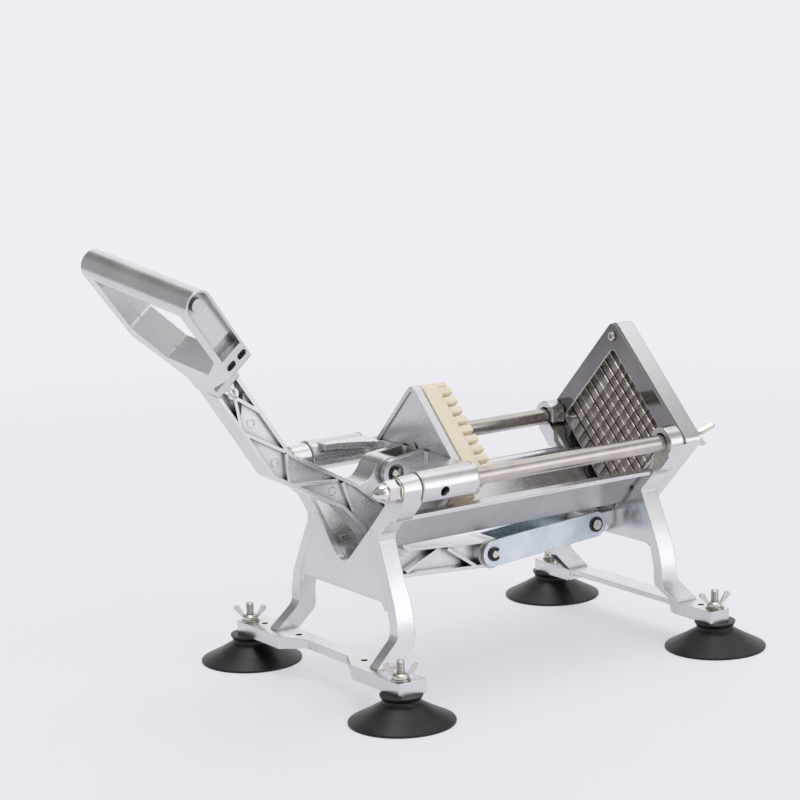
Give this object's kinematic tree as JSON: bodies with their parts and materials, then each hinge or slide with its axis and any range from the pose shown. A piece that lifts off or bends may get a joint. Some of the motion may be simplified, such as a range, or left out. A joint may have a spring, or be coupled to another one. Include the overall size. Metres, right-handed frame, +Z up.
{
  "type": "french fry cutter",
  "caption": "Bench-top french fry cutter: a long cast lever drives a pin-faced pusher along guide rods over a V trough, forcing a potato through a square grid of crossed blades; suction feet.",
  "frame": {"origin": "centre of the machine's box on the bench, under the trough", "axes": "+X from the handle to the blades, +Y to the left when looking along +X, +Z up"},
  "size_m": [0.499, 0.284, 0.3428],
  "materials": {
    "cast_aluminium": "satin as cast",
    "rod_steel": "ground",
    "plate_steel": "polished",
    "blade_steel": "ground",
    "zinc_steel": "bright zinc",
    "acorn_steel": "polished",
    "blue_zinc": "pale blue zinc",
    "clip_steel": "dark",
    "ivory_plastic": "satin",
    "black_rubber": "satin"
  },
  "bodies": {
    "frame": {"front_frame": "cast_aluminium", "rear_frame": "cast_aluminium", "trough": "cast_aluminium", "guide_rod_left": "rod_steel", "guide_rod_right": "rod_steel", "rod_acorn_nuts": "acorn_steel", "rod_washers": "zinc_steel", "blade_plate": "plate_steel", "blades_rising": "blade_steel", "blades_falling": "blade_steel", "blade_screws": "zinc_steel", "blade_wing_bolts": "zinc_steel", "suction_cup_front_left": "black_rubber", "suction_cup_front_right": "black_rubber", "suction_cup_rear_left": "black_rubber", "suction_cup_rear_right": "black_rubber", "cup_studs": "zinc_steel", "foot_washers": "zinc_steel", "wing_nuts": "zinc_steel", "anchor_pin": "zinc_steel"},
    "pusher": {"pusher_carriage": "cast_aluminium", "slide_bushes": "ivory_plastic", "pusher_pin_block": "ivory_plastic", "block_screws": "zinc_steel", "clevis_pin": "zinc_steel", "clevis_clips": "clip_steel"},
    "lever": {"lever_arm": "cast_aluminium", "lever_grip": "cast_aluminium", "grip_bolts": "zinc_steel", "low_pivot_pin": "zinc_steel", "low_washers": "zinc_steel", "low_clips": "clip_steel"},
    "link": {"link": "blue_zinc", "anchor_studs": "zinc_steel", "anchor_clips": "clip_steel"}
  },
  "joints": [
    {"name": "pusher_slide", "type": "slide", "parent": "frame", "child": "pusher", "axis": [1, 0, 0], "range_m": [0, 0.17]},
    {"name": "lever_pivot", "type": "hinge", "parent": "pusher", "child": "lever", "pos_m": [-0.02499, 0, 0.1585], "axis": [0, 1, 0], "range_deg": [0, 91]},
    {"name": "link_pivot", "type": "hinge", "parent": "lever", "child": "link", "pos_m": [0.06501, 0, 0.0815], "axis": [0, -1, 0], "range_deg": [0, 98]}
  ],
  "couplings": [
    {"joint": "lever_pivot", "follows": "pusher_slide", "rad_per_m": 9.3348},
    {"joint": "link_pivot", "follows": "pusher_slide", "rad_per_m": 10.03}
  ]
}
